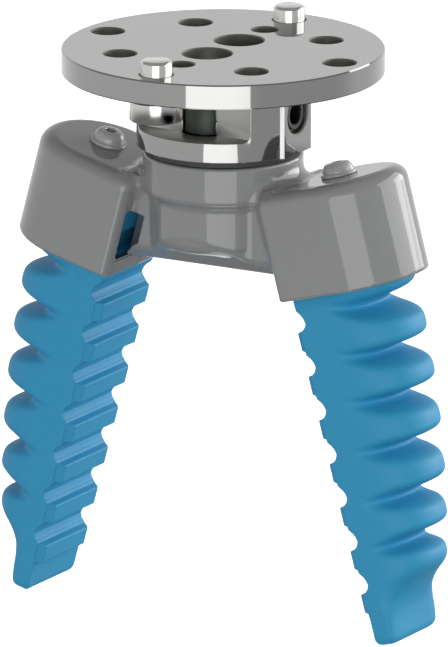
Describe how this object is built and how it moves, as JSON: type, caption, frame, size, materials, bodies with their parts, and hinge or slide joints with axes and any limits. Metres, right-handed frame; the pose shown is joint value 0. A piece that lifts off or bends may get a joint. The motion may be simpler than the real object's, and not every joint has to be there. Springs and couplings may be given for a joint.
{
  "type": "soft-finger parallel gripper",
  "caption": "Pneumatic gripper with a drilled round adapter flange, a moulded body and soft bellows fingers with ribbed gripping faces that curl inwards under air pressure.",
  "frame": {"origin": "centre of the flange's top face, the face that meets the robot", "axes": "+Z out of the flange towards the robot, +X towards the finger on the side of the air port, fingers pointing down along -Z"},
  "size_m": [0.095, 0.0606, 0.112],
  "materials": {
    "satin_aluminium": "satin",
    "bright_steel": "polished",
    "black_steel": "satin",
    "brass": "satin",
    "black_rubber": "matte",
    "black_plastic": "satin",
    "grey_plastic": "gloss",
    "blue_silicone": "satin"
  },
  "bodies": {
    "base": {"adapter_flange": "satin_aluminium", "flange_screws": "bright_steel", "body_screws": "black_steel", "body_inserts": "brass", "face_gasket": "black_rubber", "port_cartridge": "black_plastic", "gripper_body": "grey_plastic", "clamp_screws": "bright_steel", "right_root_insert": "grey_plastic", "right_root_oring": "black_rubber", "right_finger_root": "blue_silicone", "left_root_insert": "grey_plastic", "left_root_oring": "black_rubber", "left_finger_root": "blue_silicone"},
    "right_finger_link_1": {"right_finger_link_1": "blue_silicone"},
    "right_finger_link_2": {"right_finger_link_2": "blue_silicone"},
    "right_finger_link_3": {"right_finger_link_3": "blue_silicone"},
    "right_finger_link_4": {"right_finger_link_4": "blue_silicone"},
    "right_finger_link_5": {"right_finger_link_5": "blue_silicone"},
    "right_finger_link_6": {"right_finger_link_6": "blue_silicone"},
    "right_finger_link_7": {"right_finger_link_7": "blue_silicone"},
    "left_finger_link_1": {"left_finger_link_1": "blue_silicone"},
    "left_finger_link_2": {"left_finger_link_2": "blue_silicone"},
    "left_finger_link_3": {"left_finger_link_3": "blue_silicone"},
    "left_finger_link_4": {"left_finger_link_4": "blue_silicone"},
    "left_finger_link_5": {"left_finger_link_5": "blue_silicone"},
    "left_finger_link_6": {"left_finger_link_6": "blue_silicone"},
    "left_finger_link_7": {"left_finger_link_7": "blue_silicone"}
  },
  "joints": [
    {"name": "right_bend_1", "type": "hinge", "parent": "base", "child": "right_finger_link_1", "pos_m": [0.02386, 0, -0.04859], "axis": [0, 1, 0], "range_deg": [-2, 8.5], "stiffness_Nm_per_rad": 0.001},
    {"name": "right_bend_2", "type": "hinge", "parent": "right_finger_link_1", "child": "right_finger_link_2", "pos_m": [0.02605, 0, -0.05679], "axis": [0, 1, 0], "range_deg": [-2, 8.5], "stiffness_Nm_per_rad": 0.001},
    {"name": "right_bend_3", "type": "hinge", "parent": "right_finger_link_2", "child": "right_finger_link_3", "pos_m": [0.02825, 0, -0.06498], "axis": [0, 1, 0], "range_deg": [-2, 8.5], "stiffness_Nm_per_rad": 0.001},
    {"name": "right_bend_4", "type": "hinge", "parent": "right_finger_link_3", "child": "right_finger_link_4", "pos_m": [0.03044, 0, -0.07318], "axis": [0, 1, 0], "range_deg": [-2, 8.5], "stiffness_Nm_per_rad": 0.001},
    {"name": "right_bend_5", "type": "hinge", "parent": "right_finger_link_4", "child": "right_finger_link_5", "pos_m": [0.03264, 0, -0.08137], "axis": [0, 1, 0], "range_deg": [-2, 8.5], "stiffness_Nm_per_rad": 0.001},
    {"name": "right_bend_6", "type": "hinge", "parent": "right_finger_link_5", "child": "right_finger_link_6", "pos_m": [0.03483, 0, -0.08956], "axis": [0, 1, 0], "range_deg": [-2, 8.5], "stiffness_Nm_per_rad": 0.001},
    {"name": "right_bend_7", "type": "hinge", "parent": "right_finger_link_6", "child": "right_finger_link_7", "pos_m": [0.03703, 0, -0.09776], "axis": [0, 1, 0], "range_deg": [-2, 8.5], "stiffness_Nm_per_rad": 0.001},
    {"name": "left_bend_1", "type": "hinge", "parent": "base", "child": "left_finger_link_1", "pos_m": [-0.02386, 0, -0.04859], "axis": [0, -1, 0], "range_deg": [-2, 8.5], "stiffness_Nm_per_rad": 0.001},
    {"name": "left_bend_2", "type": "hinge", "parent": "left_finger_link_1", "child": "left_finger_link_2", "pos_m": [-0.02605, 0, -0.05679], "axis": [0, -1, 0], "range_deg": [-2, 8.5], "stiffness_Nm_per_rad": 0.001},
    {"name": "left_bend_3", "type": "hinge", "parent": "left_finger_link_2", "child": "left_finger_link_3", "pos_m": [-0.02825, 0, -0.06498], "axis": [0, -1, 0], "range_deg": [-2, 8.5], "stiffness_Nm_per_rad": 0.001},
    {"name": "left_bend_4", "type": "hinge", "parent": "left_finger_link_3", "child": "left_finger_link_4", "pos_m": [-0.03044, 0, -0.07318], "axis": [0, -1, 0], "range_deg": [-2, 8.5], "stiffness_Nm_per_rad": 0.001},
    {"name": "left_bend_5", "type": "hinge", "parent": "left_finger_link_4", "child": "left_finger_link_5", "pos_m": [-0.03264, 0, -0.08137], "axis": [0, -1, 0], "range_deg": [-2, 8.5], "stiffness_Nm_per_rad": 0.001},
    {"name": "left_bend_6", "type": "hinge", "parent": "left_finger_link_5", "child": "left_finger_link_6", "pos_m": [-0.03483, 0, -0.08956], "axis": [0, -1, 0], "range_deg": [-2, 8.5], "stiffness_Nm_per_rad": 0.001},
    {"name": "left_bend_7", "type": "hinge", "parent": "left_finger_link_6", "child": "left_finger_link_7", "pos_m": [-0.03703, 0, -0.09776], "axis": [0, -1, 0], "range_deg": [-2, 8.5], "stiffness_Nm_per_rad": 0.001}
  ],
  "couplings": [
    {"joint": "right_bend_2", "follows": "right_bend_1", "ratio": 1},
    {"joint": "right_bend_3", "follows": "right_bend_1", "ratio": 1},
    {"joint": "right_bend_4", "follows": "right_bend_1", "ratio": 1},
    {"joint": "right_bend_5", "follows": "right_bend_1", "ratio": 1},
    {"joint": "right_bend_6", "follows": "right_bend_1", "ratio": 1},
    {"joint": "right_bend_7", "follows": "right_bend_1", "ratio": 1},
    {"joint": "left_bend_1", "follows": "right_bend_1", "ratio": 1},
    {"joint": "left_bend_2", "follows": "right_bend_1", "ratio": 1},
    {"joint": "left_bend_3", "follows": "right_bend_1", "ratio": 1},
    {"joint": "left_bend_4", "follows": "right_bend_1", "ratio": 1},
    {"joint": "left_bend_5", "follows": "right_bend_1", "ratio": 1},
    {"joint": "left_bend_6", "follows": "right_bend_1", "ratio": 1},
    {"joint": "left_bend_7", "follows": "right_bend_1", "ratio": 1}
  ]
}
